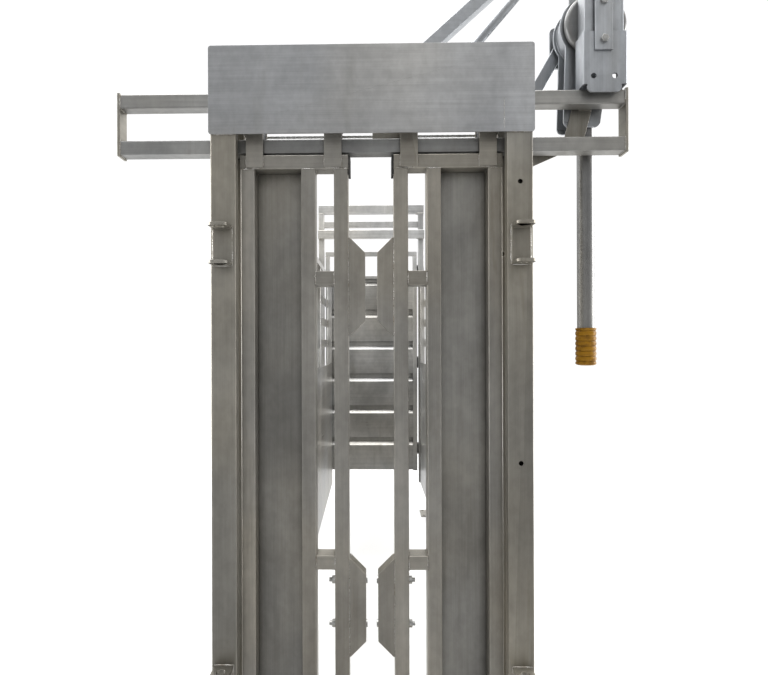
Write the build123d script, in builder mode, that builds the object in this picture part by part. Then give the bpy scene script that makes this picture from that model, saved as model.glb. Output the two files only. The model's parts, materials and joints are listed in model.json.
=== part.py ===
from build123d import *
import math
import os

os.makedirs("parts", exist_ok=True)

# Cattle squeeze chute. Millimetres, +Z up, animals walk towards -Y.
# Origin: on the floor, under the middle of the head gate, level with the posts' front faces.

# Front frame
HALF_WIDTH = 440
POST_W = 70
POST_D = 30
POST_TOP = 2044
POST_HOLE_X = 405
PLATE = 6
HEADER_HALF = 444
HEADER_LOW = 1808
HEADER_HIGH = 2050
CORNER_POST_Y = (100, 160)
LUG_X = (380, 432)
RAIL_HALF = 710
RAIL_Y = (45, 85)
RAIL_SIZE = 40
LOWER_RAIL_Z = 1772
UPPER_RAIL_Z = 1903
WALL = 3
SLANT_Y = (98, 101)

# Sliding leaves of the head gate
LEAF_Y = (40, 90)
LEAF_LOW = 20
LEAF_TOP = 1766
TUBE = 40
STILES = ((64, 104), (156, 196), (327, 367))
CROSSBARS_Z = (600, 1399)
SHEET_Y = (84, 87)
HANGERS = ((82, 131), (302, 350))
HANGER_Z = (1729, 1884)
HANGER_T = 6
AXLE_R = 8
ROLLER_R = 22
ROLLER_GAP = 1
ROLLER_Z = LOWER_RAIL_Z + RAIL_SIZE + ROLLER_R + ROLLER_GAP
PAD_X = (17, 64)
PAD_Y = (45, 85)
PAD_CHAMFER = 43
UPPER_PAD_Z = (1258, 1534)
LOWER_PAD_Z = (354, 629)
PAD_BOLTS_Z = (439, 563)
PAD_BOLT_R = 6

# Chain that makes the leaves move as mirror images
SPROCKET_X = 345
SPROCKET_Z = 1860
SPROCKET_R = 18
CHAIN_Y = (100.3, 107.7)
CHAIN_T = 4.7
CHAIN_GAP = 0.3
CHAIN_IN = SPROCKET_R + CHAIN_GAP
CHAIN_OUT = CHAIN_IN + CHAIN_T
CLAMP_BACK = 99.5

# Head gate lever, its tower and its push rod
PIVOT = (646, 2150)
PIVOT_R = 15
LEVER_Y = 132
LEVER_HUB_R = 96
DRUM_R = 88
DRUM_WALL = 8
LEVER_PLATE_LOW = 1861
HANDLE_X = 634
HANDLE_R = 24
HANDLE_TOP = 2050
GRIP_Z = (1168, 1279)
GRIP_R = 29
ARM_PIN = (625, 2516)
DRIVE_PIN = (31, 1985)
DRIVE_ARM_FOOT = (-104, 1848)
DRIVE_ARM_W = 36
DRIVE_PIN_R = 8
ROD_SIZE = 36
EYE_R = 26
MAST_X = (590, 698)
MAST_Y = (26, 76)
MAST_Z = (2000, 2530)
STRAP_X = (614, 662)
STRAP_BOLTS_Z = (2065, 2171, 2380)
BRACKET_TOP = 2091
BRACKET_HOLES_X = (612, 670)

# Sides, rear and squeeze wall
SIDE_X = (400, 440)
SIDE_UPRIGHTS_Y = ((700, 740), (1500, 1540))
SIDE_TOP_Z = (1740, 1780)
REAR_Y = (2260, 2320)
JAMB_X = (336, 376)
JAMB_Y = (2280, 2320)
JAMB_Z = (240, 2162)
WALL_TUBE = 30
WALL_Y = (170, 2270)
WALL_RAILS_Z = (240, 900, 1660)
WALL_UPRIGHTS_Y = (170, 745, 1465, 2240)
WALL_SHEET_TOP = 1100
WALL_BARS_Z = (1210, 1350, 1490)
RIGHT_WALL_X = 347
LEFT_WALL_X = 282
GUIDE_R = 12
GUIDES_Y = (760, 1480)
GUIDES_Z = (320, 1600)
CRANK_X = -470
CRANK_Z = 920
CRANK_LENGTH = 250
CRANK_R = 17
YOKES_Y = ((775, 785), (1455, 1465))
CRANKS_Y = ((787, 797), (1443, 1453))

# Rear gate
GATE_HALF = 326
GATE_Y = (2284, 2314)
GATE_Z = (325, 1888)
SLATS_TOP = 1695
SLAT_COUNT = 6
HINGE_X = 331
HINGE_Y = 2331
HINGES_Z = (480, 1100, 1760)
HINGE_PIN_R = 6
LATCH_Z = 1100
LATCH_R = 8
LATCH_Y = 2331
KEEPER_GAP = 10
FIT = 0.05


def block(x, y, z, mode=Mode.ADD):
    """A box between two corners, given as three (low, high) pairs."""
    low = [min(pair) for pair in (x, y, z)]
    high = [max(pair) for pair in (x, y, z)]
    middle = [(a + b) / 2 for a, b in zip(low, high)]
    with Locations(tuple(middle)):
        Box(high[0] - low[0], high[1] - low[1], high[2] - low[2], mode=mode)


def tube(x, y, z, run, wall=WALL):
    """A rectangular hollow section between two corners, open along the run axis."""
    block(x, y, z)
    inner = []
    for axis, pair in zip("xyz", (x, y, z)):
        inset = 0 if axis == run else wall
        inner.append((min(pair) + inset, max(pair) - inset))
    block(*inner, mode=Mode.SUBTRACT)


def both(pair):
    """The same X span on the left and on the right."""
    return (tuple(-value for value in pair), tuple(pair))


def round_bar(centre, y, radius, mode=Mode.ADD):
    """A cylinder along Y, its centre given as (x, z)."""
    with Locations((centre[0], (y[0] + y[1]) / 2, centre[1])):
        Cylinder(radius, y[1] - y[0], rotation=(90, 0, 0), mode=mode)


def cross_bar(x, y, z, radius, mode=Mode.ADD):
    """A cylinder along X between two X values."""
    with Locations(((x[0] + x[1]) / 2, y, z)):
        Cylinder(radius, abs(x[1] - x[0]), rotation=(0, 90, 0), mode=mode)


def front_plane(y):
    """A sketch plane facing the front: its x is +X, its y is +Z."""
    return Plane(origin=(0, y, 0), x_dir=(1, 0, 0), z_dir=(0, -1, 0))


def leaning_bar(start, end, y, width):
    """A flat-ended bar in a plane facing the front, between two (x, z) points."""
    length = math.dist(start, end)
    angle = math.degrees(math.atan2(end[1] - start[1], end[0] - start[0]))
    centre = ((start[0] + end[0]) / 2, (y[0] + y[1]) / 2, (start[1] + end[1]) / 2)
    with Locations(Location(centre, (0, -angle, 0))):
        Box(length, y[1] - y[0], width)


def save(part, label):
    """Name the piece and write it."""
    part.label = label
    export_step(part, f"parts/{label}.step")


# ---------------------------------------------------------------- front frame

with BuildPart() as base_plates:
    block((-718, 718), (-60, 160), (0, PLATE))
    for side in (-1, 1):
        with Locations((side * 550, 50, PLATE)):
            with GridLocations(140, 170, 2, 2):
                Hole(9, PLATE)
    block((-718, 718), (32, 38), (PLATE, 36))
    block((-718, 718), (92, 98), (PLATE, 36))
    for side in (-1, 1):
        block((side * 350, side * 490), (2262, 2402), (0, PLATE))
        with Locations((side * 420, 2332, PLATE)):
            with GridLocations(100, 100, 2, 2):
                Hole(9, PLATE)
save(base_plates.part, "base_plates")

with BuildPart() as front_posts:
    for span in both((HALF_WIDTH - POST_W, HALF_WIDTH)):
        tube(span, (0, POST_D), (PLATE, POST_TOP), "z")
        tube(span, CORNER_POST_Y, (PLATE, UPPER_RAIL_Z + RAIL_SIZE), "z")
    for hole_z in (909, 1674):
        round_bar((POST_HOLE_X, hole_z), (-1, 10), 6.5, mode=Mode.SUBTRACT)
save(front_posts.part, "front_posts")

with BuildPart() as header_plate:
    with BuildSketch(front_plane(0)) as outline:
        with Locations((0, (HEADER_LOW + HEADER_HIGH) / 2)):
            RectangleRounded(2 * HEADER_HALF, HEADER_HIGH - HEADER_LOW, 8)
    extrude(amount=4)
save(header_plate.part, "header_plate")

with BuildPart() as head_rails:
    for low in (LOWER_RAIL_Z, UPPER_RAIL_Z):
        tube((-RAIL_HALF, RAIL_HALF), RAIL_Y, (low, low + RAIL_SIZE), "x")
save(head_rails.part, "head_rails")

with BuildPart() as frame_brackets:
    for span in both((RAIL_HALF, RAIL_HALF + 8)):
        block(span, (RAIL_Y[0] - 2, RAIL_Y[1] + 2), (LOWER_RAIL_Z - 4, UPPER_RAIL_Z + RAIL_SIZE + 4))
    for span in both((390, 430)):
        block(span, (POST_D, RAIL_Y[0]), (UPPER_RAIL_Z, UPPER_RAIL_Z + RAIL_SIZE))
        block(span, (RAIL_Y[1], CORNER_POST_Y[0]), (UPPER_RAIL_Z, UPPER_RAIL_Z + RAIL_SIZE))
    for side in (-1, 1):
        block((side * 327, side * (HALF_WIDTH - POST_W)), (110, 116), (SPROCKET_Z - 18, SPROCKET_Z + 18))
        round_bar((side * SPROCKET_X, SPROCKET_Z), (98, 110), 6)
    for span in both((JAMB_X[1], SIDE_X[0])):
        for low in (300, 1000, 1700):
            block(span, (2285, 2315), (low, low + 40))
    for y_span in SIDE_UPRIGHTS_Y:
        for low in (WALL_RAILS_Z[0], WALL_RAILS_Z[2]):
            block((RIGHT_WALL_X + WALL_TUBE, SIDE_X[0]), y_span, (low, low + WALL_TUBE))
    for low in (LATCH_Z + KEEPER_GAP, LATCH_Z - KEEPER_GAP - 12):
        block((-372, -340), (JAMB_Y[1], LATCH_Y + 15), (low, low + 12))
save(frame_brackets.part, "frame_brackets")

with BuildPart() as rail_braces:
    with BuildSketch(front_plane(106)):
        with BuildLine():
            Polyline((HALF_WIDTH, 1735), (HALF_WIDTH + 120, 1787), (HALF_WIDTH, 1787), close=True)
        make_face()
    extrude(amount=6)
    with BuildSketch(front_plane(SLANT_Y[1])):
        with BuildLine():
            Polyline((589, 1938), (647, 1938), (606, 1785), (549, 1785), close=True)
        make_face()
    extrude(amount=SLANT_Y[1] - SLANT_Y[0])
    block((600, 636), (RAIL_Y[1], SLANT_Y[0]), (UPPER_RAIL_Z + 4, UPPER_RAIL_Z + RAIL_SIZE - 4))
    with Locations((378, 96, 1493)):
        Torus(9, 2.5, rotation=(90, 0, 0))
    block((385, 389), (96, 100), (1490, 1496))
save(rail_braces.part, "rail_braces")

with BuildPart() as hinge_lugs:
    for low in (249, 1449):
        for side in (-1, 1):
            span = (side * LUG_X[0], side * LUG_X[1])
            block(span, (-6, 0), (low, low + 108))
            for ear_low in (low, low + 100):
                block(span, (-56, -6), (ear_low, ear_low + 8))
    outer_edges = hinge_lugs.edges().filter_by(Axis.Z).group_by(Axis.Y)[0]
    fillet(outer_edges, 14)
    for side in (-1, 1):
        with Locations((side * (LUG_X[0] + LUG_X[1]) / 2, -32, 900)):
            Cylinder(12, 2000, mode=Mode.SUBTRACT)
save(hinge_lugs.part, "hinge_lugs")

# ---------------------------------------------------------------- sides and rear frame

with BuildPart() as side_rails:
    for span in both(SIDE_X):
        tube(span, (CORNER_POST_Y[1], REAR_Y[0]), (0, 50), "y")
        tube(span, (CORNER_POST_Y[1], REAR_Y[0]), SIDE_TOP_Z, "y")
save(side_rails.part, "side_rails")

with BuildPart() as side_uprights:
    for span in both(SIDE_X):
        for y_span in SIDE_UPRIGHTS_Y:
            tube(span, y_span, (50, SIDE_TOP_Z[0]), "z")
        tube(span, REAR_Y, (PLATE, SIDE_TOP_Z[1]), "z")
save(side_uprights.part, "side_uprights")

with BuildPart() as rear_jambs:
    for span in both(JAMB_X):
        tube(span, JAMB_Y, JAMB_Z, "z")
    for z in HINGES_Z:
        block((HINGE_X - 8, 372), (JAMB_Y[1], HINGE_Y + 8), (z - 44, z - 31))
        with Locations((HINGE_X, HINGE_Y, z)):
            Cylinder(HINGE_PIN_R, 76)
save(rear_jambs.part, "rear_jambs")

with BuildPart() as rear_cross_beams:
    tube((-JAMB_X[1], JAMB_X[1]), JAMB_Y, (JAMB_Z[1], JAMB_Z[1] + 58), "x")
    tube((-JAMB_X[0], JAMB_X[0]), (2285, 2315), (2064, 2104), "x")
    tube((-JAMB_X[1], JAMB_X[1]), (2240, 2280), (1978, 2036), "x")
save(rear_cross_beams.part, "rear_cross_beams")


def wall_rails(inner, side):
    """The three long rails of a side wall, with the inner face at the given distance."""
    for low in WALL_RAILS_Z:
        span = (side * inner, side * (inner + WALL_TUBE))
        tube(span, WALL_Y, (low, low + WALL_TUBE), "y", wall=2)


def wall_uprights(inner, side):
    """Short posts between the rails of a side wall."""
    for y in WALL_UPRIGHTS_Y:
        for low, high in zip(WALL_RAILS_Z[:-1], WALL_RAILS_Z[1:]):
            span = (side * inner, side * (inner + WALL_TUBE))
            tube(span, (y, y + WALL_TUBE), (low + WALL_TUBE, high), "z", wall=2)


def wall_bars(inner, side):
    """Flat bars on the outside of a wall's upper half."""
    for z in WALL_BARS_Z:
        span = (side * (inner + WALL_TUBE), side * (inner + WALL_TUBE + 10))
        block(span, WALL_Y, (z, z + 50))


with BuildPart() as right_wall_rails:
    wall_rails(RIGHT_WALL_X, 1)
    wall_bars(RIGHT_WALL_X, 1)
save(right_wall_rails.part, "right_wall_rails")

with BuildPart() as right_wall_uprights:
    wall_uprights(RIGHT_WALL_X, 1)
save(right_wall_uprights.part, "right_wall_uprights")

with BuildPart() as right_wall_sheet:
    block((RIGHT_WALL_X - 2, RIGHT_WALL_X), WALL_Y, (WALL_RAILS_Z[0], WALL_SHEET_TOP))
save(right_wall_sheet.part, "right_wall_sheet")

# ---------------------------------------------------------------- squeeze wall and its crank

with BuildPart() as squeeze_wall_rails:
    wall_rails(LEFT_WALL_X, -1)
    wall_bars(LEFT_WALL_X, -1)
save(squeeze_wall_rails.part, "squeeze_wall_rails")

with BuildPart() as squeeze_wall_uprights:
    wall_uprights(LEFT_WALL_X, -1)
save(squeeze_wall_uprights.part, "squeeze_wall_uprights")

with BuildPart() as squeeze_yokes:
    pin_z = CRANK_Z + CRANK_LENGTH
    for y_span in YOKES_Y:
        block((-500, -290), y_span, (pin_z - 70, pin_z + 36))
        block((CRANK_X - 12, CRANK_X + 12), y_span, (pin_z - 50, pin_z + 16), mode=Mode.SUBTRACT)
save(squeeze_yokes.part, "squeeze_yokes")

with BuildPart() as squeeze_wall_sheet:
    block((-LEFT_WALL_X, 2 - LEFT_WALL_X), WALL_Y, (WALL_RAILS_Z[0], WALL_SHEET_TOP))
save(squeeze_wall_sheet.part, "squeeze_wall_sheet")

with BuildPart() as squeeze_guide_rods:
    for y in GUIDES_Y:
        for z in GUIDES_Z:
            cross_bar((-600, -LEFT_WALL_X - WALL_TUBE), y, z, GUIDE_R)
save(squeeze_guide_rods.part, "squeeze_guide_rods")

with BuildPart() as squeeze_bearings:
    for y in GUIDES_Y:
        for z in GUIDES_Z:
            block((-SIDE_X[1], -SIDE_X[0]), (y - 20, y + 20), (z - 20, z + 20))
            cross_bar((-450, -390), y, z, GUIDE_R + FIT, mode=Mode.SUBTRACT)
    for y_span in SIDE_UPRIGHTS_Y:
        block((-500, -SIDE_X[1]), (y_span[0] + 5, y_span[1] - 5), (CRANK_Z - 30, CRANK_Z + 30))
        round_bar((CRANK_X, CRANK_Z), y_span, CRANK_R + FIT, mode=Mode.SUBTRACT)
save(squeeze_bearings.part, "squeeze_bearings")

with BuildPart() as crank_shaft:
    round_bar((CRANK_X, CRANK_Z), (690, 1630), CRANK_R)
    for y_span in CRANKS_Y:
        block((CRANK_X - 25, CRANK_X + 25), y_span, (CRANK_Z, CRANK_Z + CRANK_LENGTH))
        round_bar((CRANK_X, CRANK_Z), y_span, 32)
        round_bar((CRANK_X, CRANK_Z + CRANK_LENGTH), y_span, 25)
    round_bar((CRANK_X, CRANK_Z + CRANK_LENGTH), (769, 787), 8)
    round_bar((CRANK_X, CRANK_Z + CRANK_LENGTH), (1453, 1471), 8)
save(crank_shaft.part, "crank_shaft")

SQUEEZE_TILT = 32
squeeze_dir = Vector(-math.sin(math.radians(SQUEEZE_TILT)), 0, math.cos(math.radians(SQUEEZE_TILT)))
squeeze_plane = Plane(origin=(CRANK_X, 1600, CRANK_Z), x_dir=(0, 1, 0), z_dir=squeeze_dir)

with BuildPart() as squeeze_handle:
    with BuildSketch(squeeze_plane.offset(15)):
        Circle(16)
    extrude(amount=720)
    round_bar((CRANK_X, CRANK_Z), (1576, 1624), 30)
    round_bar((CRANK_X, CRANK_Z), (1570, 1630), CRANK_R, mode=Mode.SUBTRACT)
save(squeeze_handle.part, "squeeze_handle")

with BuildPart() as squeeze_grip:
    with BuildSketch(squeeze_plane.offset(640)):
        Circle(22)
        Circle(16, mode=Mode.SUBTRACT)
    extrude(amount=95)
    with BuildSketch(squeeze_plane.offset(735)):
        Circle(22)
    extrude(amount=6)
save(squeeze_grip.part, "squeeze_grip")

# ---------------------------------------------------------------- sliding leaves


def leaf_stiles(side):
    """The three upright tubes of a leaf, drilled for the lower pad's bolts."""
    for pair in STILES:
        tube((side * pair[0], side * pair[1]), LEAF_Y, (LEAF_LOW + TUBE, LEAF_TOP - TUBE), "z")
    for z in PAD_BOLTS_Z:
        cross_bar((side * 60, side * 110), 65, z, PAD_BOLT_R + 0.5, mode=Mode.SUBTRACT)


def leaf_rails(side):
    """The cross tubes of a leaf."""
    span = (side * STILES[0][0], side * STILES[2][1])
    tube(span, LEAF_Y, (LEAF_TOP - TUBE, LEAF_TOP), "x")
    tube(span, LEAF_Y, (LEAF_LOW, LEAF_LOW + TUBE), "x")
    for low in CROSSBARS_Z:
        tube((side * STILES[0][1], side * STILES[1][0]), LEAF_Y, (low, low + TUBE), "x")


def pad(side, z):
    """A neck pad with two chamfered corners towards the animal."""
    inner, outer = side * PAD_X[0], side * PAD_X[1]
    step = side * PAD_CHAMFER
    with BuildSketch(front_plane(PAD_Y[1])) as outline:
        with BuildLine():
            Polyline(
                (outer, z[0]),
                (inner + step, z[0]),
                (inner, z[0] + PAD_CHAMFER),
                (inner, z[1] - PAD_CHAMFER),
                (inner + step, z[1]),
                (outer, z[1]),
                close=True,
            )
        make_face()
    extrude(outline.sketch, amount=PAD_Y[1] - PAD_Y[0])


def hangers(side):
    """Plates that carry the leaf from its rollers, in front of the rail and behind it."""
    for pair in HANGERS:
        span = (side * pair[0], side * pair[1])
        block(span, (LEAF_Y[0] - HANGER_T, LEAF_Y[0]), HANGER_Z)
        block(span, (LEAF_Y[1], LEAF_Y[1] + HANGER_T), HANGER_Z)


def chain_clamp(side):
    """The arm on a leaf's inner hanger and its two jaws, above and below one run of the chain."""
    middle = SPROCKET_Z - side * (CHAIN_IN + CHAIN_T / 2)
    half_gap = CHAIN_T / 2 + CHAIN_GAP
    block((side * 5, side * 131), (96, CLAMP_BACK), (middle - 10, middle + 10))
    block((side * 5, side * 20), (CLAMP_BACK, 108), (middle + half_gap, middle + 10))
    block((side * 5, side * 20), (CLAMP_BACK, 108), (middle - 10, middle - half_gap))


def hanger_centre(side, pair):
    """Where a hanger's roller turns, as (x, z)."""
    return (side * (pair[0] + pair[1]) / 2, ROLLER_Z)


for side, name in ((-1, "left"), (1, "right")):
    with BuildPart() as stiles:
        leaf_stiles(side)
    save(stiles.part, f"{name}_leaf_stiles")

    with BuildPart() as rails:
        leaf_rails(side)
    save(rails.part, f"{name}_leaf_rails")

    with BuildPart() as sheet:
        block((side * STILES[1][1], side * STILES[2][0]), SHEET_Y, (LEAF_LOW + TUBE, LEAF_TOP - TUBE))
    save(sheet.part, f"{name}_leaf_sheet")

    with BuildPart() as hanger_plates:
        hangers(side)
        chain_clamp(side)
        for pair in HANGERS:
            round_bar(hanger_centre(side, pair), (30, 100), AXLE_R, mode=Mode.SUBTRACT)
        if name == "left":
            rear_plate_y = (LEAF_Y[1], LEAF_Y[1] + HANGER_T)
            leaning_bar(DRIVE_ARM_FOOT, DRIVE_PIN, rear_plate_y, DRIVE_ARM_W)
            round_bar(DRIVE_PIN, rear_plate_y, DRIVE_ARM_W / 2)
            round_bar(DRIVE_PIN, (LEAF_Y[1], 152), DRIVE_PIN_R)
    save(hanger_plates.part, f"{name}_hangers")

    with BuildPart() as pads:
        pad(side, UPPER_PAD_Z)
        pad(side, LOWER_PAD_Z)
        for z in PAD_BOLTS_Z:
            cross_bar((side * 10, side * 70), 65, z, PAD_BOLT_R + 0.5, mode=Mode.SUBTRACT)
    save(pads.part, f"{name}_pads")

    with BuildPart() as fasteners:
        for z in PAD_BOLTS_Z:
            cross_bar((side * 13, side * 122), 65, z, PAD_BOLT_R)
            cross_bar((side * 13, side * 17), 65, z, 10)
            hex_plane = Plane(origin=(side * 104, 65, z), x_dir=(0, 1, 0), z_dir=(side, 0, 0))
            with BuildSketch(hex_plane):
                RegularPolygon(11, 6)
            extrude(amount=10)
        for pair in HANGERS:
            round_bar(hanger_centre(side, pair), (34, 96), AXLE_R)
    save(fasteners.part, f"{name}_leaf_fasteners")

    with BuildPart() as bumper:
        block((side * 58, side * 64), LEAF_Y, (1712, 1764))
    save(bumper.part, f"{name}_leaf_bumper")

    for place, pair in zip(("inner", "outer"), HANGERS):
        with BuildPart() as roller:
            centre = hanger_centre(side, pair)
            round_bar(centre, (41, 89), ROLLER_R)
            round_bar(centre, (40, 90), AXLE_R + FIT, mode=Mode.SUBTRACT)
        save(roller.part, f"{name}_{place}_roller")

# ---------------------------------------------------------------- chain between the leaves

with BuildPart() as sync_chain:
    with BuildSketch(front_plane(CHAIN_Y[1])):
        with Locations((0, SPROCKET_Z)):
            SlotCenterToCenter(2 * SPROCKET_X, 2 * CHAIN_OUT)
            SlotCenterToCenter(2 * SPROCKET_X, 2 * CHAIN_IN, mode=Mode.SUBTRACT)
    extrude(amount=CHAIN_Y[1] - CHAIN_Y[0])
save(sync_chain.part, "sync_chain")

for side, name in ((-1, "left"), (1, "right")):
    with BuildPart() as sprocket:
        round_bar((side * SPROCKET_X, SPROCKET_Z), (100, 108), SPROCKET_R)
        round_bar((side * SPROCKET_X, SPROCKET_Z), (99, 109), 6 + FIT, mode=Mode.SUBTRACT)
    save(sprocket.part, f"{name}_sprocket")

# ---------------------------------------------------------------- lever tower

with BuildPart() as lever_bracket:
    left, right = MAST_X[0] - PLATE, MAST_X[1] + PLATE
    with BuildSketch(front_plane(MAST_Y[0])):
        with BuildLine():
            Polyline(
                (left, 1946), (left + 11, 1946), (left + 11, 1925), (right - 16, 1925),
                (right - 16, 1946), (right, 1946), (right, BRACKET_TOP), (left, BRACKET_TOP), close=True,
            )
        make_face()
        fillet(vertices().group_by(Axis.Y)[0], 12)
    extrude(amount=PLATE)
    for span in ((left, MAST_X[0]), (MAST_X[1], right)):
        block(span, MAST_Y, (1946, BRACKET_TOP))
    block((left, right), (50, 80), (UPPER_RAIL_Z + RAIL_SIZE, 1946))
    bends = lever_bracket.edges().filter_by(Axis.Z).group_by(Axis.Y)[0].sort_by(Axis.X)
    fillet([bends[0], bends[-1]], 5)
    for x in BRACKET_HOLES_X:
        round_bar((x, 1968), (10, 30), 7.5, mode=Mode.SUBTRACT)
save(lever_bracket.part, "lever_bracket")

with BuildPart() as tower_mast:
    tube(MAST_X, MAST_Y, MAST_Z, "z")
    round_bar(PIVOT, (40, 90), PIVOT_R, mode=Mode.SUBTRACT)
save(tower_mast.part, "tower_mast")

with BuildPart() as lock_disc:
    round_bar(PIVOT, (MAST_Y[1], 95), DRUM_R)
    fillet(lock_disc.edges().group_by(Axis.Y)[0], 12)
    round_bar(PIVOT, (70, 100), PIVOT_R, mode=Mode.SUBTRACT)
save(lock_disc.part, "lock_disc")

with BuildPart() as tower_strap:
    block(STRAP_X, (MAST_Y[0] - 12, MAST_Y[0] - 6), (2037, 2420))
    block((STRAP_X[0] + 6, STRAP_X[1] - 6), (MAST_Y[0] - 6, MAST_Y[0]), (BRACKET_TOP, 2414))
save(tower_strap.part, "tower_strap")

with BuildPart() as tower_bolts:
    with BuildSketch(front_plane(MAST_Y[0] - 12)):
        for z in STRAP_BOLTS_Z:
            with Locations(((STRAP_X[0] + STRAP_X[1]) / 2, z)):
                RegularPolygon(11, 6)
    extrude(amount=8)
save(tower_bolts.part, "tower_bolts")

with BuildPart() as pivot_shaft:
    round_bar(PIVOT, (MAST_Y[0] + WALL, 206), PIVOT_R)
save(pivot_shaft.part, "pivot_shaft")

with BuildPart() as tower_braces:
    tie_start = Vector(165, 65, 1929)
    tie_dir = (Vector(638, 65, 2480) - tie_start).normalized()
    with BuildSketch(Plane(origin=tie_start, x_dir=(0, 1, 0), z_dir=tie_dir)):
        Circle(14)
    extrude(amount=900)
    block((100, MAST_X[0]), (0, 130), (UPPER_RAIL_Z + RAIL_SIZE, 2700), mode=Mode.INTERSECT)
    leaning_bar((430, 1874), (580, 2137), (172, 190), 34)
    block((404, HALF_WIDTH), (CORNER_POST_Y[1], 174), (1850, 1900))
    with BuildSketch(front_plane(198)):
        with Locations((616, 2140)):
            RectangleRounded(130, 124, 14)
        with Locations(PIVOT):
            Circle(PIVOT_R, mode=Mode.SUBTRACT)
    extrude(amount=8)
save(tower_braces.part, "tower_braces")

# ---------------------------------------------------------------- lever and push rod

PLATES_Y = ((LEVER_Y - HANDLE_R - PLATE, LEVER_Y - HANDLE_R), (LEVER_Y + HANDLE_R, LEVER_Y + HANDLE_R + PLATE))
BARS_Y = ((PLATES_Y[0][0] - PLATE, PLATES_Y[0][0]), (PLATES_Y[1][1], PLATES_Y[1][1] + PLATE))

with BuildPart() as lever_plates:
    for y_span in PLATES_Y:
        with BuildSketch(front_plane(y_span[1])):
            with BuildLine():
                Polyline(
                    (559, LEVER_PLATE_LOW),
                    (664, LEVER_PLATE_LOW),
                    (PIVOT[0] + 60, PIVOT[1]),
                    (PIVOT[0] - 78, PIVOT[1]),
                    close=True,
                )
            make_face()
            fillet(vertices().group_by(Axis.Y)[0], 18)
            with Locations(PIVOT):
                Circle(LEVER_HUB_R)
        extrude(amount=PLATE)
    round_bar(PIVOT, (PLATES_Y[0][1], PLATES_Y[1][0]), DRUM_R)
    round_bar(PIVOT, (PLATES_Y[0][1], PLATES_Y[1][0]), DRUM_R - DRUM_WALL, mode=Mode.SUBTRACT)
    round_bar(PIVOT, (PLATES_Y[0][0] - 1, PLATES_Y[1][1] + 5), 26)
    round_bar(PIVOT, (90, 180), PIVOT_R + FIT, mode=Mode.SUBTRACT)
save(lever_plates.part, "lever_plates")

with BuildPart() as lever_arm_bars:
    for y_span in BARS_Y:
        block((ARM_PIN[0] - 25, ARM_PIN[0] + 25), y_span, (2215, ARM_PIN[1] + 25))
    fillet(lever_arm_bars.edges().filter_by(Axis.Y).group_by(Axis.Z)[-1], 18)
    round_bar(ARM_PIN, (BARS_Y[0][0] - 4, BARS_Y[1][1] + 4), 10)
save(lever_arm_bars.part, "lever_arm_bars")

with BuildPart() as lever_handle:
    with Locations((HANDLE_X, LEVER_Y, (HANDLE_TOP + GRIP_Z[0] + 6) / 2)):
        Cylinder(HANDLE_R - 0.1, HANDLE_TOP - GRIP_Z[0] - 6)
        Cylinder(HANDLE_R - 4, HANDLE_TOP - GRIP_Z[0] - 6, mode=Mode.SUBTRACT)
save(lever_handle.part, "lever_handle")

with BuildPart() as lever_grip:
    with Locations((HANDLE_X, LEVER_Y, (GRIP_Z[0] + GRIP_Z[1]) / 2)):
        Cylinder(GRIP_R, GRIP_Z[1] - GRIP_Z[0])
        with Locations((0, 0, 3)):
            Cylinder(HANDLE_R - 0.1, GRIP_Z[1] - GRIP_Z[0] - 6, mode=Mode.SUBTRACT)
save(lever_grip.part, "lever_grip")

with BuildPart() as push_rod:
    leaning_bar(
        (DRIVE_PIN[0] + 27, DRIVE_PIN[1] + 24), (ARM_PIN[0] - 12, ARM_PIN[1] - 11),
        (LEVER_Y - ROD_SIZE / 2, LEVER_Y + ROD_SIZE / 2), ROD_SIZE,
    )
    round_bar(ARM_PIN, (LEVER_Y - ROD_SIZE / 2, LEVER_Y + ROD_SIZE / 2), 22)
    round_bar(DRIVE_PIN, (LEVER_Y - ROD_SIZE / 2, LEVER_Y + ROD_SIZE / 2), EYE_R + 12)
    round_bar(ARM_PIN, (100, 160), 10 + FIT, mode=Mode.SUBTRACT)
    round_bar(DRIVE_PIN, (100, 160), EYE_R, mode=Mode.SUBTRACT)
save(push_rod.part, "push_rod")

# ---------------------------------------------------------------- rear gate

with BuildPart() as gate_stiles:
    for span in both((GATE_HALF - WALL_TUBE, GATE_HALF)):
        tube(span, GATE_Y, (GATE_Z[0], GATE_Z[1] - WALL_TUBE), "z", wall=2)
    for z in HINGES_Z:
        block((300, HINGE_X), (GATE_Y[1], GATE_Y[1] + 10), (z - 30, z + 30))
        with Locations((HINGE_X, HINGE_Y, z)):
            Cylinder(10, 60)
            Cylinder(HINGE_PIN_R + FIT, 62, mode=Mode.SUBTRACT)
    for x in (-316, -256):
        block((x - 10, x + 10), (GATE_Y[1], LATCH_Y + 15), (LATCH_Z - 16, LATCH_Z + 16))
        cross_bar((x - 12, x + 12), LATCH_Y, LATCH_Z, LATCH_R + FIT, mode=Mode.SUBTRACT)
save(gate_stiles.part, "gate_stiles")

with BuildPart() as gate_rails:
    tube((-GATE_HALF, GATE_HALF), GATE_Y, (GATE_Z[1] - WALL_TUBE, GATE_Z[1]), "x", wall=2)
    tube((WALL_TUBE - GATE_HALF, GATE_HALF - WALL_TUBE), GATE_Y, (SLATS_TOP, SLATS_TOP + 20), "x", wall=2)
save(gate_rails.part, "gate_rails")

SLAT_PITCH = (SLATS_TOP - GATE_Z[0]) / SLAT_COUNT

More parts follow.
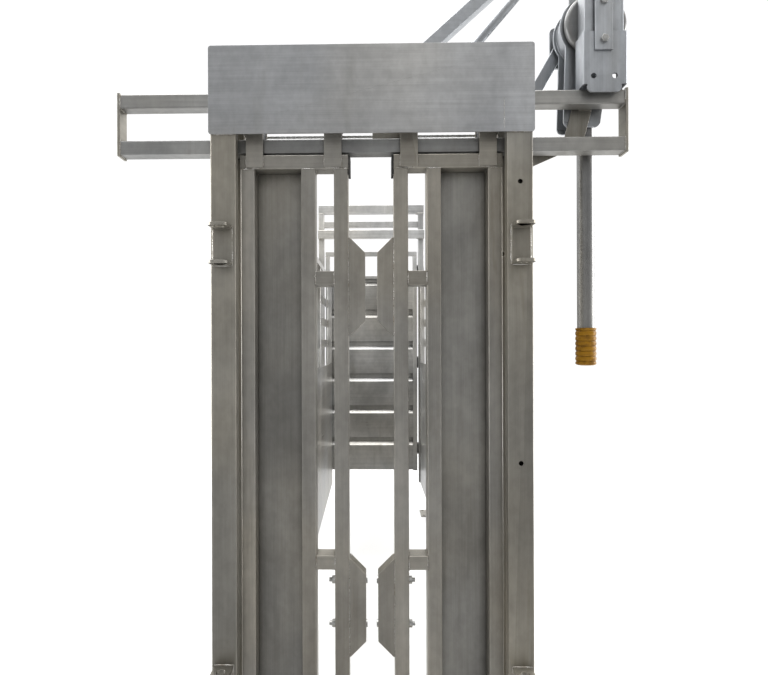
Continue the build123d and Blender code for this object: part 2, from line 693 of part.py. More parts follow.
with BuildPart() as gate_sheet:
    block((WALL_TUBE - GATE_HALF, GATE_HALF - WALL_TUBE), (2310, 2313), (GATE_Z[0], SLATS_TOP))
    for index in range(SLAT_COUNT):
        low = GATE_Z[0] + index * SLAT_PITCH
        side_plane = Plane(origin=(WALL_TUBE - GATE_HALF, 0, 0), x_dir=(0, 1, 0), z_dir=(1, 0, 0))
        with BuildSketch(side_plane):
            with BuildLine():
                Polyline(
                    (2284, low + 10), (2284, low + SLAT_PITCH - 48), (2306, low + SLAT_PITCH - 22),
                    (2310, low + SLAT_PITCH - 22), (2310, low + 10), close=True,
                )
            make_face()
        extrude(amount=2 * (GATE_HALF - WALL_TUBE))
save(gate_sheet.part, "gate_sheet")

with BuildPart() as latch_bolt:
    cross_bar((-330, -190), LATCH_Y, LATCH_Z, LATCH_R)
    round_bar((-200, LATCH_Z), (LATCH_Y, 2389), 6)
save(latch_bolt.part, "latch_bolt")
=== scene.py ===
"""Cattle squeeze chute: the looks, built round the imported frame. Metres, +Z up, the head gate faces -Y."""

import json
import math
import random

import bmesh
import bpy
from mathutils import Matrix, Vector


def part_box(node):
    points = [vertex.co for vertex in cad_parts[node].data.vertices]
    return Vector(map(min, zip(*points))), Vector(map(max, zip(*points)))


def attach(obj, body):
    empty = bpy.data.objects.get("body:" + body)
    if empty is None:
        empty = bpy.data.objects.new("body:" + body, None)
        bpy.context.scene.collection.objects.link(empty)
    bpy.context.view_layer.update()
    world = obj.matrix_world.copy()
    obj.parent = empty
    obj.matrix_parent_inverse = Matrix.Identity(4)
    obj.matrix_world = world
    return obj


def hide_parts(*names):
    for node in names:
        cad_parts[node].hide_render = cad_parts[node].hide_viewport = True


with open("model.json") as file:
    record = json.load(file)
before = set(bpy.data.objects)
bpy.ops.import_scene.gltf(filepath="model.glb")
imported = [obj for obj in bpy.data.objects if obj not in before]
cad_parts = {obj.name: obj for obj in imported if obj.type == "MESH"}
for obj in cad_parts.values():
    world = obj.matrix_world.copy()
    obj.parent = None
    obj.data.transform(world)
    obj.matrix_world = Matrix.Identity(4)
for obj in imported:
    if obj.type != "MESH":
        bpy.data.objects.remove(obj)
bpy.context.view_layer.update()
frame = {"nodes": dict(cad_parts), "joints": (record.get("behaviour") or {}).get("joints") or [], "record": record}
record = frame["record"]
NODES = frame["nodes"]
SLOT_OF = {part["node"]: part["material_slot"] for part in record["subparts"]}
BODY_OF = {node: body for body, nodes in record["behaviour"]["bodies"].items() for node in nodes}
JOINTS = {joint["name"]: joint for joint in frame["joints"]}
MM = 0.001
DICE = random.Random(7)

# The camera stands in front of the head gate, a little turned, at the height of a person's chest.
CAMERA_PLACE = (0.0, -1.4034, 1.2371)
CAMERA_YAW = 0.94
CAMERA_ROLL = -0.18
FOCAL_LENGTH = 24.16
SENSOR = 36.0
CAMERA_SHIFT = (0.0274, 0.0070)

# How much an edge is rolled: square tubes have round corners, sheared plates have tight ones.
TUBE_RADIUS = 4.0 * MM
PLATE_RADIUS = 1.5 * MM
SMALL_RADIUS = 0.8 * MM
SHARP_ANGLE = math.radians(30)
EDGE_SHARE = 0.35
SLIVER = 1e-8

TUBE_NODES = {
    "front_posts", "head_rails", "side_rails", "side_uprights", "rear_jambs", "rear_cross_beams",
    "right_wall_uprights", "squeeze_wall_uprights", "left_leaf_stiles", "right_leaf_stiles",
    "left_leaf_rails", "right_leaf_rails", "tower_mast", "gate_rails", "push_rod",
}
PLATE_NODES = {
    "base_plates", "header_plate", "hinge_lugs", "frame_brackets", "rail_braces", "left_pads", "right_pads",
    "lever_bracket", "tower_strap", "lever_plates", "lever_arm_bars", "gate_sheet", "gate_stiles",
    "right_wall_rails", "squeeze_wall_rails", "lock_disc", "tower_braces", "squeeze_yokes",
}


# ---------------------------------------------------------------- materials

class Shader:
    """A node tree under construction, with short calls for the nodes that the materials share."""

    def __init__(self, name):
        self.material = bpy.data.materials.new(name)
        self.material.use_nodes = True
        self.nodes = self.material.node_tree.nodes
        self.links = self.material.node_tree.links
        self.surface = self.nodes["Principled BSDF"]
        self.place = self.nodes.new("ShaderNodeTexCoord").outputs["Object"]

    def link(self, source, target):
        self.links.new(source, target)

    def noise(self, scale, detail=3.0, roughness=0.5, stretch=(1, 1, 1), shift=(0, 0, 0), distortion=0.0):
        mapping = self.nodes.new("ShaderNodeMapping")
        mapping.inputs["Scale"].default_value = stretch
        mapping.inputs["Location"].default_value = shift
        self.link(self.place, mapping.inputs["Vector"])
        node = self.nodes.new("ShaderNodeTexNoise")
        node.inputs["Scale"].default_value = scale
        node.inputs["Detail"].default_value = detail
        node.inputs["Roughness"].default_value = roughness
        node.inputs["Distortion"].default_value = distortion
        self.link(mapping.outputs["Vector"], node.inputs["Vector"])
        return node.outputs["Fac"]

    def ramp(self, source, low, high, start=0.0, end=1.0):
        node = self.nodes.new("ShaderNodeMapRange")
        node.interpolation_type = "SMOOTHSTEP"
        node.inputs["From Min"].default_value = low
        node.inputs["From Max"].default_value = high
        node.inputs["To Min"].default_value = start
        node.inputs["To Max"].default_value = end
        self.link(source, node.inputs["Value"])
        return node.outputs["Result"]

    def math(self, kind, first, second):
        node = self.nodes.new("ShaderNodeMath")
        node.operation = kind
        for socket, value in zip(node.inputs, (first, second)):
            if isinstance(value, (int, float)):
                socket.default_value = value
            else:
                self.link(value, socket)
        return node.outputs["Value"]

    def mix(self, factor, first, second, blend="MIX"):
        node = self.nodes.new("ShaderNodeMix")
        node.data_type = "RGBA"
        node.blend_type = blend
        for socket, value in ((node.inputs[0], factor), (node.inputs[6], first), (node.inputs[7], second)):
            if isinstance(value, (int, float)):
                socket.default_value = value
            elif isinstance(value, tuple):
                socket.default_value = (*value, 1.0)
            else:
                self.link(value, socket)
        return node.outputs[2]

    def bump(self, height, strength, distance):
        node = self.nodes.new("ShaderNodeBump")
        node.inputs["Strength"].default_value = strength
        node.inputs["Distance"].default_value = distance
        self.link(height, node.inputs["Height"])
        self.link(node.outputs["Normal"], self.surface.inputs["Normal"])


STREAKS = {"x": (0.012, 1, 1), "y": (1, 0.012, 1), "z": (1, 1, 0.012)}
DRIPS = (1, 1, 0.10)


def scaled(colour, factor):
    return tuple(channel * factor for channel in colour)


def weathered_steel(name, colour, grain="z", clouds=0.16, stain=0.35, roughness=0.42, seed=0, spread=0.10):
    """Rolled steel with a dull zinc skin: clouds, brushing, stains that ran down, and painted shade darkening its
    corners.
    """
    shader = Shader(name)
    shift = (3.1 * seed, 1.7 * seed, 5.3 * seed)
    cloud = shader.noise(3.2, 4.0, 0.55, (1, 1, 0.55), shift, 0.4)
    mottle = shader.noise(38.0, 3.0, 0.6, (1, 1, 0.7), shift)
    brushed = shader.noise(420.0, 2.0, 0.6, STREAKS[grain], shift)
    broad = shader.noise(60.0, 2.0, 0.5, STREAKS[grain], shift)
    drip = shader.noise(16.0, 4.0, 0.65, DRIPS, shift, 0.3)
    island = shader.nodes.new("ShaderNodeNewGeometry").outputs["Random Per Island"]

    tone = shader.ramp(cloud, 0.32, 0.68, 1.0 - clouds, 1.0 + clouds)
    tone = shader.math("MULTIPLY", tone, shader.ramp(mottle, 0.3, 0.7, 0.94, 1.06))
    tone = shader.math("MULTIPLY", tone, shader.ramp(brushed, 0.3, 0.7, 0.95, 1.05))
    tone = shader.math("MULTIPLY", tone, shader.ramp(broad, 0.3, 0.7, 0.95, 1.05))
    tone = shader.math("MULTIPLY", tone, shader.ramp(island, 0.0, 1.0, 1.0 - spread, 1.0 + spread))
    warmth = shader.ramp(shader.noise(1.7, 2.0, 0.5, (1, 1, 1), shift), 0.35, 0.65)
    skin = shader.mix(warmth, colour, (colour[0] * 0.97, colour[1], colour[2] * 1.06))
    toned = shader.mix(1.0, skin, tone, "MULTIPLY")
    dirt = shader.ramp(drip, 0.56, 0.78, 0.0, stain)
    dirty = shader.mix(dirt, toned, (colour[0] * 0.50, colour[1] * 0.46, colour[2] * 0.38))

    # Painted shade: an ambient-occlusion mask darkens the base colour in corners and where parts meet.
    corners = shader.nodes.new("ShaderNodeAmbientOcclusion")
    corners.samples = 4
    corners.inputs["Distance"].default_value = 0.045
    painted_corner_shade = shader.ramp(corners.outputs["AO"], 0.25, 0.85, 0.45, 1.0)
    shader.link(shader.mix(1.0, dirty, painted_corner_shade, "MULTIPLY"), shader.surface.inputs["Base Color"])

    shader.surface.inputs["Metallic"].default_value = 0.88
    rough = shader.ramp(cloud, 0.3, 0.7, roughness - 0.05, roughness + 0.07)
    rough = shader.math("ADD", rough, shader.ramp(brushed, 0.3, 0.7, -0.05, 0.05))
    rough = shader.math("ADD", rough, shader.math("MULTIPLY", dirt, 0.25))
    shader.link(rough, shader.surface.inputs["Roughness"])
    height = shader.math("ADD", shader.math("MULTIPLY", brushed, 0.35), shader.math("MULTIPLY", mottle, 0.8))
    shader.bump(height, 0.16, 0.0008)
    return shader.material


def zinc_plated(name, colour):
    """Bright fasteners: fine machining marks and a little tarnish."""
    shader = Shader(name)
    tarnish = shader.ramp(shader.noise(90.0, 3.0, 0.6), 0.35, 0.7)
    marks = shader.noise(900.0, 2.0, 0.5, (1, 0.2, 1))
    plating = shader.mix(tarnish, scaled(colour, 1.1), scaled(colour, 0.62))
    shader.link(plating, shader.surface.inputs["Base Color"])
    shader.link(shader.ramp(tarnish, 0.0, 1.0, 0.22, 0.42), shader.surface.inputs["Roughness"])
    shader.surface.inputs["Metallic"].default_value = 1.0
    shader.bump(marks, 0.10, 0.0004)
    return shader.material


WELD_BRIGHT = (0.66, 0.65, 0.62)
WELD_SOOT = (0.36, 0.34, 0.30)
WELD_TINT = (0.34, 0.30, 0.24)


def weld_metal(name):
    """Weld beads: bright where brushed, with blue-brown heat tint and soot between the ripples."""
    shader = Shader(name)
    patches = shader.ramp(shader.noise(70.0, 3.0, 0.6), 0.40, 0.66)
    heat = shader.ramp(shader.noise(24.0, 2.0, 0.5, shift=(4, 1, 2)), 0.45, 0.75)
    bare = shader.mix(patches, WELD_BRIGHT, WELD_SOOT)
    shader.link(shader.mix(heat, bare, WELD_TINT), shader.surface.inputs["Base Color"])
    shader.link(shader.ramp(patches, 0.0, 1.0, 0.24, 0.48), shader.surface.inputs["Roughness"])
    shader.surface.inputs["Metallic"].default_value = 0.95
    shader.bump(shader.noise(700.0, 2.0, 0.6), 0.35, 0.0006)
    return shader.material


def ribbed_plastic(name, colour):
    """The lever's grip: worn mustard plastic, with painted shade darkening it between its ribs."""
    shader = Shader(name)
    wear = shader.ramp(shader.noise(55.0, 4.0, 0.6), 0.42, 0.68)
    scuffs = shader.ramp(shader.noise(240.0, 2.0, 0.5, (1, 1, 0.15)), 0.55, 0.75)
    # Painted shade: an ambient-occlusion mask darkens the base colour between the ribs.
    corners = shader.nodes.new("ShaderNodeAmbientOcclusion")
    corners.samples = 4
    corners.inputs["Distance"].default_value = 0.006
    painted_groove_shade = shader.ramp(corners.outputs["AO"], 0.35, 0.9, 0.35, 1.0)
    worn = shader.mix(wear, colour, (colour[0] * 0.62, colour[1] * 0.58, colour[2] * 0.8))
    scuffed = shader.mix(shader.math("MULTIPLY", scuffs, 0.4), worn, scaled(colour, 1.25))
    shader.link(shader.mix(1.0, scuffed, painted_groove_shade, "MULTIPLY"), shader.surface.inputs["Base Color"])
    shader.link(shader.ramp(wear, 0.0, 1.0, 0.42, 0.62), shader.surface.inputs["Roughness"])
    shader.surface.inputs["Specular IOR Level"].default_value = 0.2
    shader.bump(shader.noise(400.0, 2.0, 0.5), 0.2, 0.0005)
    return shader.material


def dark_polymer(name, colour, roughness):
    """Rubber or nylon: fine grain, greasy patches and pale dust."""
    shader = Shader(name)
    dust = shader.ramp(shader.noise(42.0, 4.0, 0.6), 0.45, 0.75, 0.0, 0.35)
    grain = shader.noise(600.0, 2.0, 0.6)
    shader.link(shader.mix(dust, colour, (0.20, 0.19, 0.17)), shader.surface.inputs["Base Color"])
    shader.link(shader.ramp(dust, 0.0, 0.35, roughness, roughness + 0.2), shader.surface.inputs["Roughness"])
    shader.bump(grain, 0.25, 0.0004)
    return shader.material


STEELS = {
    "frame_steel": dict(colour=(0.36, 0.337, 0.288), seed=1),
    "header_steel": dict(colour=(0.465, 0.46, 0.445), clouds=0.10, stain=0.16, roughness=0.38, seed=2),
    "leaf_steel": dict(colour=(0.395, 0.370, 0.322), clouds=0.15, seed=3),
    "sheet_steel": dict(colour=(0.315, 0.300, 0.266), clouds=0.26, stain=0.30, roughness=0.36, seed=4),
    "rail_steel": dict(colour=(0.365, 0.355, 0.33), seed=5),
    "side_steel": dict(colour=(0.50, 0.485, 0.45), clouds=0.18, roughness=0.36, seed=6),
    "lever_steel": dict(colour=(0.47, 0.475, 0.47), clouds=0.14, stain=0.22, roughness=0.36, seed=7),
    "handle_steel": dict(colour=(0.27, 0.262, 0.245), clouds=0.14, stain=0.22, roughness=0.36, seed=8),
}
OTHERS = {
    "zinc": lambda: zinc_plated("zinc", (0.60, 0.60, 0.58)),
    "grip": lambda: ribbed_plastic("grip", (0.27, 0.13, 0.004)),
    "rubber": lambda: dark_polymer("rubber", (0.012, 0.012, 0.012), 0.55),
    "roller_nylon": lambda: dark_polymer("roller_nylon", (0.045, 0.045, 0.048), 0.35),
}
OWN_MATERIAL = {"lever_handle": "handle_steel", "lock_disc": "handle_steel"}
made = {}


def material_for(slot, grain="z"):
    """The material of a slot, with its brushing along the given axis; each is made once."""
    key = (slot, grain)
    if key not in made:
        if slot in STEELS:
            made[key] = weathered_steel(f"{slot}_{grain}", grain=grain, **STEELS[slot])
        else:
            made[key] = OTHERS[slot]()
    return made[key]


WELD = weld_metal("weld_metal")


# ---------------------------------------------------------------- shared mesh work

def clean_copy(node):
    """A bmesh of a CAD node with its split corners joined and its flat faces whole."""
    mesh = bmesh.new()
    mesh.from_mesh(NODES[node].data)
    bmesh.ops.remove_doubles(mesh, verts=mesh.verts, dist=2e-6)
    bmesh.ops.dissolve_degenerate(mesh, dist=2e-6, edges=mesh.edges)
    bmesh.ops.dissolve_limit(mesh, angle_limit=math.radians(0.5), verts=mesh.verts, edges=mesh.edges)
    bmesh.ops.recalc_face_normals(mesh, faces=mesh.faces)
    mesh.normal_update()
    return mesh


def thinness(face):
    """About the width of a long face."""
    return 2 * face.calc_area() / max(face.calc_perimeter(), 1e-9)


def weigh_edges(mesh, radius):
    """Gives each sharp edge the share of the radius that its faces and its neighbours leave room for."""
    layer = mesh.edges.layers.float.new("bevel_weight_edge")
    for edge in mesh.edges:
        if len(edge.link_faces) != 2 or min(face.calc_area() for face in edge.link_faces) < SLIVER:
            continue
        if edge.calc_face_angle(0.0) > SHARP_ANGLE:
            shortest = min(other.calc_length() for vertex in edge.verts for other in vertex.link_edges)
            room = EDGE_SHARE * min(shortest, *(thinness(face) for face in edge.link_faces))
            edge[layer] = max(0.0, min(1.0, room / radius))


def as_piece(name, mesh, body, material, smooth_angle=35):
    """Turns a bmesh into an object that rides on a body."""
    data = bpy.data.meshes.new(name)
    for face in mesh.faces:
        face.smooth = True
    mesh.to_mesh(data)
    mesh.free()
    data.set_sharp_from_angle(angle=math.radians(smooth_angle))
    data.materials.append(material)
    piece = bpy.data.objects.new(name, data)
    bpy.context.scene.collection.objects.link(piece)
    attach(piece, body)
    return piece


def roll_edges(piece, radius):
    """Rounds the weighted edges and keeps the flat faces flat in shading."""
    bevel = piece.modifiers.new("rolled_edges", "BEVEL")
    bevel.width = radius
    bevel.segments = 3
    bevel.limit_method = "WEIGHT"
    bevel.harden_normals = True
    bevel.use_clamp_overlap = False


GRAIN = {
    "front_posts": "z", "left_leaf_rails": "x", "right_leaf_rails": "x", "rear_cross_beams": "x",
    "side_rails": "y", "side_uprights": "z", "rear_jambs": "z", "gate_stiles": "z", "gate_rails": "x",
    "gate_sheet": "x", "right_wall_uprights": "z", "squeeze_wall_uprights": "z", "header_plate": "x",
    "right_wall_sheet": "y", "squeeze_wall_sheet": "y", "hinge_lugs": "z", "base_plates": "x",
}


def grain_of(node):
    """The axis of a node's brushing: its own, or else the longest side of its box."""
    if node in GRAIN:
        return GRAIN[node]
    low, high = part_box(node)
    size = high - low
    return "xyz"[max(range(3), key=lambda axis: size[axis])]


def rolled_node(node):
    """Stands for a CAD node: the same solids in the same place, with rolled edges and its steel."""
    radius = TUBE_RADIUS if node in TUBE_NODES else PLATE_RADIUS if node in PLATE_NODES else SMALL_RADIUS
    mesh = clean_copy(node)
    weigh_edges(mesh, radius)
    slot = SLOT_OF[node]
    material = material_for(OWN_MATERIAL.get(node, slot), grain_of(node))
    piece = as_piece(node + "_piece", mesh, BODY_OF[node], material)
    roll_edges(piece, radius)
    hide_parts(node)


# ---------------------------------------------------------------- weld beads

def solid_boxes(node):
    """The box of each separate solid of a CAD node."""
    mesh = clean_copy(node)
    left = set(mesh.verts)
    boxes = []
    while left:
        front = [left.pop()]
        island = list(front)
        while front:
            vertex = front.pop()
            for edge in vertex.link_edges:
                other = edge.other_vert(vertex)
                if other in left:
                    left.remove(other)
                    front.append(other)
                    island.append(other)
        low = Vector([min(v.co[axis] for v in island) for axis in range(3)])
        high = Vector([max(v.co[axis] for v in island) for axis in range(3)])
        boxes.append((low, high))
    mesh.free()
    return sorted(boxes, key=lambda pair: tuple(round(value, 5) for value in pair[0]))


TOUCH = 0.7 * MM
LEAST_SEAM = 9 * MM
LONGEST_SEAM = 0.34


def contact_edges(first, second):
    """The four sides of the rectangle where two boxes meet face to face, as pairs of points."""
    found = []
    for axis in range(3):
        others = [a for a in range(3) if a != axis]
        spans = [(max(first[0][a], second[0][a]), min(first[1][a], second[1][a])) for a in others]
        if any(high - low < LEAST_SEAM for low, high in spans):
            continue
        for level in (first[1][axis], first[0][axis]):
            facing = second[0][axis] if level == first[1][axis] else second[1][axis]
            if abs(level - facing) > TOUCH:
                continue
            corners = []
            for a, b in ((0, 0), (1, 0), (1, 1), (0, 1)):
                point = Vector((0, 0, 0))
                point[axis] = level
                point[others[0]] = spans[0][a]
                point[others[1]] = spans[1][b]
                corners.append(point)
            found += list(zip(corners, corners[1:] + corners[:1]))
    return found


def skin_rings(mesh, rings):
    """Joins equal rings of vertices into one closed skin."""
    sides = len(rings[0])
    for one, two in zip(rings, rings[1:]):
        for side in range(sides):
            after = (side + 1) % sides
            mesh.faces.new((one[side], one[after], two[after], two[side]))
    mesh.faces.new(list(reversed(rings[0])))
    mesh.faces.new(rings[-1])


BEAD_SIDES = 8
BEAD_PITCH = 3.2 * MM
FRAME_BEAD = 2.4 * MM
LEAF_BEAD = 1.9 * MM
WALL_BEAD = 1.8 * MM


def add_bead(mesh, start, end, radius):
    """One rippled bead along a straight seam, with tapered ends."""
    length = (end - start).length
    along = (end - start).normalized()
    across = along.orthogonal().normalized()
    over = along.cross(across)
    half_steps = max(6, 2 * round(length / BEAD_PITCH))
    rings = []
    for step in range(half_steps + 1):
        t = step / half_steps
        ripple = 1.0 if step % 2 else 0.78
        taper = min(1.0, 0.45 + 4.0 * min(t, 1 - t) * length / (0.02 + length))
        size = radius * ripple * taper * DICE.uniform(0.90, 1.10)
        wander = across * DICE.uniform(-0.08, 0.08) * radius + over * DICE.uniform(-0.08, 0.08) * radius
        centre = start.lerp(end, t) + wander
        ring = []
        for side in range(BEAD_SIDES):
            angle = 2 * math.pi * side / BEAD_SIDES
            spoke = math.cos(angle) * across + math.sin(angle) * over
            ring.append(mesh.verts.new(centre + size * spoke))
        rings.append(ring)
    skin_rings(mesh, rings)


def weld_group(name, body, pairs, radius):
    """Beads round every place where the boxes of two nodes' solids meet face to face."""
    mesh = bmesh.new()
    for one, two in pairs:
        for first in solid_boxes(one):
            for second in solid_boxes(two):
                for start, end in contact_edges(first, second):
                    if (end - start).length < LONGEST_SEAM:
                        add_bead(mesh, start, end, radius)
    if not mesh.verts:
        mesh.free()
        return
    bmesh.ops.recalc_face_normals(mesh, faces=mesh.faces)
    as_piece(name, mesh, body, WELD, smooth_angle=60)


def all_welds():
    """The beads of each body, a group for each."""
    for side in ("left", "right"):
        leaf = f"{side}_leaf"
        pairs = [
            (f"{leaf}_stiles", f"{leaf}_rails"),
            (f"{side}_pads", f"{leaf}_stiles"),
            (f"{side}_hangers", f"{leaf}_rails"),
        ]
        weld_group(f"{leaf}_welds", leaf, pairs, LEAF_BEAD)
    frame_pairs = [
        ("hinge_lugs", "front_posts"),
        ("front_posts", "base_plates"),
        ("head_rails", "frame_brackets"),
        ("front_posts", "frame_brackets"),
        ("side_rails", "front_posts"),
        ("side_rails", "side_uprights"),
        ("rear_jambs", "frame_brackets"),
        ("side_uprights", "frame_brackets"),
        ("rear_jambs", "rear_cross_beams"),
        ("lever_bracket", "head_rails"),
        ("tower_mast", "head_rails"),
        ("tower_strap", "lever_bracket"),
    ]
    weld_group("frame_welds", "frame", frame_pairs, FRAME_BEAD)
    right_pairs = [("right_wall_rails", "right_wall_uprights")]
    weld_group("right_wall_welds", "frame", right_pairs, WALL_BEAD)
    wall_pairs = [
        ("squeeze_wall_rails", "squeeze_wall_uprights"),
        ("squeeze_yokes", "squeeze_wall_uprights"),
    ]
    weld_group("squeeze_wall_welds", "squeeze_wall", wall_pairs, WALL_BEAD)
    weld_group("gate_welds", "rear_gate", [("gate_stiles", "gate_rails")], WALL_BEAD)


# ---------------------------------------------------------------- turned and patterned pieces

def add_lathe(mesh, origin, direction, profile, sides=48):
    """Adds a turned shape from (height, radius) pairs along an axis, closed at both ends."""
    along = Vector(direction).normalized()
    across = along.orthogonal().normalized()
    over = along.cross(across)
    rings = []
    for height, radius in profile:
        centre = Vector(origin) + along * height
        ring = []
        for side in range(sides):
            angle = 2 * math.pi * side / sides
            spoke = math.cos(angle) * across + math.sin(angle) * over
            ring.append(mesh.verts.new(centre + radius * spoke))
        rings.append(ring)
    skin_rings(mesh, rings)


def span_along(node, origin, direction):
    """How far a node reaches along a direction from a point, and its greatest distance from that line."""
    heights = []
    radii = []
    for vertex in NODES[node].data.vertices:
        offset = vertex.co - origin
        height = offset.dot(direction)
        heights.append(height)
        radii.append((offset - direction * height).length)
    return min(heights), max(heights), max(radii)


RIBS = 7
RIB_DEPTH = 0.10
RIB_STEPS = 10


def ribbed_grip(node, origin, direction):
    """A hand grip with soft ribs, a rolled lip at its open end and a domed closed end."""
    direction = Vector(direction).normalized()
    origin = Vector(origin)
    low, high, radius = span_along(node, origin, direction)
    length = high - low
    profile = [(low + 0.4 * MM, radius * 0.80), (low + 0.2 * MM, radius * 0.93)]
    for step in range(RIBS * RIB_STEPS + 1):
        t = step / (RIBS * RIB_STEPS)
        wave = abs(math.cos(math.pi * RIBS * t)) ** 0.6
        profile.append((low + 1.0 * MM + t * (length - 7 * MM), radius * (1 - RIB_DEPTH * (1 - wave))))
    for turn in range(1, 7):
        angle = math.radians(15 * turn)
        height = high - 6 * MM + 5.6 * MM * math.sin(angle)
        profile.append((height, radius * (0.42 + 0.56 * math.cos(angle))))
    mesh = bmesh.new()
    add_lathe(mesh, origin, direction, profile, 64)
    bmesh.ops.recalc_face_normals(mesh, faces=mesh.faces)
    piece = as_piece(node + "_piece", mesh, BODY_OF[node], material_for("grip"), smooth_angle=40)
    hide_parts(node)


def grips():
    low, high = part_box("lever_grip")
    middle = (low + high) / 2
    ribbed_grip("lever_grip", (middle.x, middle.y, high.z), (0, 0, -1))
    pivot = Vector(JOINTS["squeeze_lever_swing"]["pos_m"])
    low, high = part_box("squeeze_grip")
    middle = (low + high) / 2
    foot = Vector((pivot.x, middle.y, pivot.z))
    ribbed_grip("squeeze_grip", foot, middle - foot)


TEETH = 14
TOOTH_DEPTH = 2.6 * MM
SPROCKET_BORE = 6.1 * MM
STEPS_PER_TOOTH = 8


def toothed_wheel(node):
    """A chain sprocket: round valleys between its teeth, and a hub bore."""
    low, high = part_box(node)
    centre = (low + high) / 2
    outer = (high.x - low.x) / 2
    steps = TEETH * STEPS_PER_TOOTH
    mesh = bmesh.new()
    rings = []
    for y in (low.y, high.y):
        for inner in (True, False):
            ring = []
            for step in range(steps):
                angle = 2 * math.pi * step / steps
                wave = 0.5 + 0.5 * math.cos(TEETH * angle)
                radius = SPROCKET_BORE if inner else outer - TOOTH_DEPTH * (1 - wave) ** 0.8
                ring.append(mesh.verts.new((
                    centre.x + radius * math.cos(angle), y, centre.z + radius * math.sin(angle))))
            rings.append(ring)
    front_bore, front_rim, back_bore, back_rim = rings
    loop = (front_bore, front_rim, back_rim, back_bore, front_bore)
    for one, two in zip(loop, loop[1:]):
        for step in range(steps):
            after = (step + 1) % steps
            mesh.faces.new((one[step], one[after], two[after], two[step]))
    bmesh.ops.recalc_face_normals(mesh, faces=mesh.faces)
    piece = as_piece(node + "_piece", mesh, BODY_OF[node], material_for("zinc"))
    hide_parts(node)


LINK_PITCH = 8.0 * MM
LINK_PLATE = 0.9 * MM


def slot_point(distance, half, radius):
    """A point and its direction on a slot-shaped loop in the XZ plane, centred on the origin."""
    straight = 2 * half
    bend = math.pi * radius
    distance %= 2 * (straight + bend)
    if distance < straight:
        return (-half + distance, radius), 0.0
    distance -= straight
    if distance < bend:
        angle = distance / radius
        return (half + radius * math.sin(angle), radius * math.cos(angle)), -angle
    distance -= bend
    if distance < straight:
        return (half - distance, -radius), -math.pi
    angle = (distance - straight) / radius
    return (-half - radius * math.sin(angle), -radius * math.cos(angle)), -math.pi - angle


def add_link_plate(mesh, place, length, height, y_low, y_high):
    """A flat plate with round ends, lying along the chain."""
    outline = []
    for end in (1, -1):
        for step in range(7):
            angle = math.radians(-90 + 30 * step)
            x = end * (length / 2 + height / 2 * math.cos(angle))
            outline.append((x, end * height / 2 * math.sin(angle)))
    front = [mesh.verts.new(place @ Vector((x, y_low, z))) for x, z in outline]
    back = [mesh.verts.new(place @ Vector((x, y_high, z))) for x, z in outline]
    mesh.faces.new(front)
    mesh.faces.new(list(reversed(back)))
    for index in range(len(outline)):
        after = (index + 1) % len(outline)
        mesh.faces.new((front[index], back[index], back[after], front[after]))


def roller_chain():
    """Stands for the plain band: links with inner and outer plates by turns, and rollers between."""
    node = "sync_chain"
    low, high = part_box(node)
    centre = (low + high) / 2
    wheel_low, wheel_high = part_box("right_sprocket")
    half = (wheel_low.x + wheel_high.x) / 2
    outer = (high.z - low.z) / 2
    band = high.x - half - (wheel_high.x - wheel_low.x) / 2
    radius = outer - band / 2
    height = band * 0.92
    length = 4 * half + 2 * math.pi * radius
    count = 2 * round(length / LINK_PITCH / 2)
    pitch = length / count
    depth = (high.y - low.y) / 2
    mesh = bmesh.new()
    for index in range(count):
        (x, z), angle = slot_point(index * pitch, half, radius)
        place = Matrix.Translation((centre.x + x, centre.y, centre.z + z))
        place = place @ Matrix.Rotation(-angle, 4, "Y")
        inset = 0.0 if index % 2 else LINK_PLATE * 1.1
        for side in (-1, 1):
            edges = sorted((side * (depth - inset), side * (depth - inset - LINK_PLATE)))
            add_link_plate(mesh, place, pitch, height, *edges)
        pin = place @ Vector((pitch / 2, -depth * 0.98, 0))
        add_lathe(mesh, pin, (0, 1, 0), [(0, height * 0.26), (depth * 1.96, height * 0.26)], 10)
    bmesh.ops.recalc_face_normals(mesh, faces=mesh.faces)
    piece = as_piece("sync_chain_piece", mesh, BODY_OF[node], material_for("zinc"))
    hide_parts(node)


# ---------------------------------------------------------------- header plate

SEAM_FROM_EDGE = 0.083
SEAM_HEIGHT = 0.092
SEAM_RADIUS = 0.7 * MM
POST_WIDTH = 0.07
RUN_LENGTH = 0.058
RUN_RADIUS = 2.0 * MM


def header_details():
    """The faint upright seam at the lower right of the header plate, and its two weld runs."""
    low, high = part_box("header_plate")
    mesh = bmesh.new()
    seam_x = high.x - SEAM_FROM_EDGE
    seam_foot = Vector((seam_x, low.y, low.z + 3 * MM))
    add_bead(mesh, seam_foot, Vector((seam_x, low.y, low.z + SEAM_HEIGHT)), SEAM_RADIUS)
    post_low, post_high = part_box("front_posts")
    for x in (post_low.x, post_high.x - POST_WIDTH):
        start = Vector((x + 6 * MM, post_low.y - 0.5 * MM, low.z))
        add_bead(mesh, start, start + Vector((RUN_LENGTH, 0, 0)), RUN_RADIUS)
    bmesh.ops.recalc_face_normals(mesh, faces=mesh.faces)
    as_piece("header_welds", mesh, "frame", WELD, smooth_angle=60)


# ---------------------------------------------------------------- camera, light and floor

def look():
    """The camera: turned by its yaw and roll, level, and shifted to the picture's framing."""
    data = bpy.data.cameras.new("camera")
    data.lens = FOCAL_LENGTH
    data.sensor_width = SENSOR
    data.shift_x, data.shift_y = CAMERA_SHIFT
    data.clip_end = 100
    camera = bpy.data.objects.new("camera", data)
    turn = Matrix.Rotation(math.radians(CAMERA_YAW), 4, "Z")
    level = Matrix.Rotation(math.radians(90), 4, "X")
    roll = Matrix.Rotation(math.radians(CAMERA_ROLL), 4, "Z")
    camera.matrix_world = Matrix.Translation(CAMERA_PLACE) @ turn @ level @ roll
    bpy.context.scene.collection.objects.link(camera)
    bpy.context.scene.camera = camera


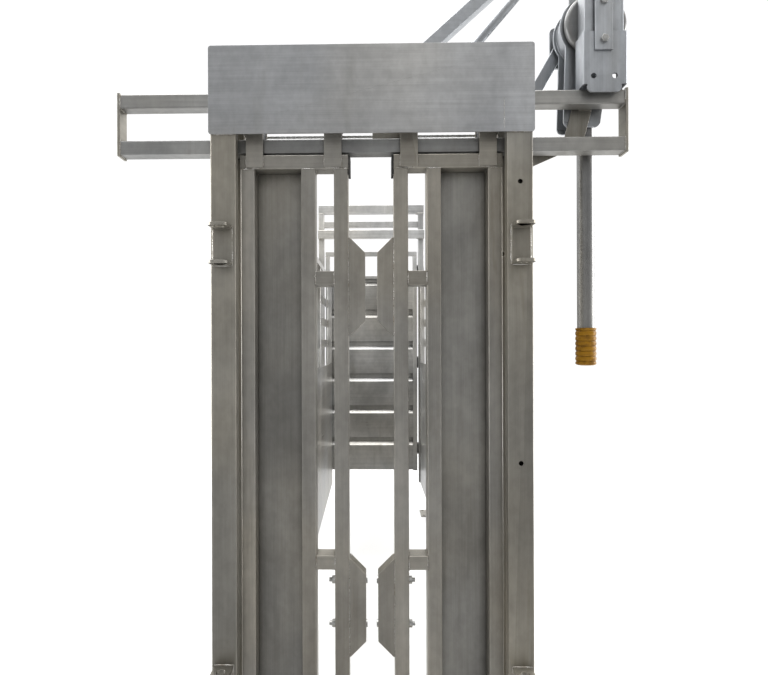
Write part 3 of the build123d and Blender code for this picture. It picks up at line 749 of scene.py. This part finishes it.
def area_light(name, place, target, size, power):
    data = bpy.data.lights.new(name, "AREA")
    data.shape = "RECTANGLE"
    data.size, data.size_y = size
    data.energy = power
    light = bpy.data.objects.new(name, data)
    light.location = place
    light.rotation_euler = (Vector(target) - Vector(place)).to_track_quat("-Z", "Y").to_euler()
    bpy.context.scene.collection.objects.link(light)


def studio():
    """A white room that is darker in front of the chute, two tall side lights and one overhead."""
    area_light("left_light", (-3.2, 0.2, 1.6), (0, 0.4, 1.2), (1.6, 3.2), 95)
    area_light("right_light", (3.2, 0.6, 1.6), (0, 0.6, 1.2), (1.6, 3.2), 95)
    area_light("top_light", (0.0, 1.0, 4.6), (0, 1.0, 0), (4.0, 4.0), 170)

    world = bpy.data.worlds.new("studio")
    world.use_nodes = True
    bpy.context.scene.world = world
    nodes, links = world.node_tree.nodes, world.node_tree.links
    direction = nodes.new("ShaderNodeTexCoord").outputs["Generated"]
    split = nodes.new("ShaderNodeSeparateXYZ")
    links.new(direction, split.inputs["Vector"])

    def ramp(source, low, high, start, end):
        node = nodes.new("ShaderNodeMapRange")
        node.interpolation_type = "SMOOTHSTEP"
        names = ("From Min", "From Max", "To Min", "To Max")
        for socket, value in zip(names, (low, high, start, end)):
            node.inputs[socket].default_value = value
        links.new(source, node.inputs["Value"])
        return node.outputs["Result"]

    front = ramp(split.outputs["Y"], -0.9, 0.1, 0.40, 1.0)
    height = ramp(split.outputs["Z"], 0.2, 0.9, 0.95, 1.5)
    product = nodes.new("ShaderNodeMath")
    product.operation = "MULTIPLY"
    links.new(front, product.inputs[0])
    links.new(height, product.inputs[1])
    seen = nodes.new("ShaderNodeLightPath").outputs["Is Camera Ray"]
    strength = nodes.new("ShaderNodeMix")
    strength.data_type = "FLOAT"
    strength.inputs[3].default_value = 1.05
    links.new(seen, strength.inputs[0])
    links.new(product.outputs["Value"], strength.inputs[2])
    background = nodes["Background"]
    background.inputs["Color"].default_value = (1, 1, 1, 1)
    links.new(strength.outputs[0], background.inputs["Strength"])


def floor():
    """A large pale floor, flat under the chute."""
    mesh = bmesh.new()
    bmesh.ops.create_grid(mesh, x_segments=40, y_segments=40, size=30)
    data = bpy.data.meshes.new("floor")
    mesh.to_mesh(data)
    mesh.free()
    shader = Shader("floor_paint")
    patches = shader.noise(0.8, 3.0, 0.5)
    paint = shader.mix(patches, (0.93, 0.93, 0.925), (0.96, 0.96, 0.955))
    shader.link(paint, shader.surface.inputs["Base Color"])
    shader.surface.inputs["Roughness"].default_value = 0.85
    data.materials.append(shader.material)
    piece = bpy.data.objects.new("floor", data)
    bpy.context.scene.collection.objects.link(piece)
    piece.visible_glossy = False


# ---------------------------------------------------------------- everything together

look()
studio()
floor()
bpy.context.scene.view_settings.view_transform = "Standard"

grips()
toothed_wheel("left_sprocket")
toothed_wheel("right_sprocket")
roller_chain()
SPECIAL = {"lever_grip", "squeeze_grip", "left_sprocket", "right_sprocket", "sync_chain"}
for node_name in sorted(NODES):
    if node_name not in SPECIAL:
        rolled_node(node_name)
all_welds()
header_details()
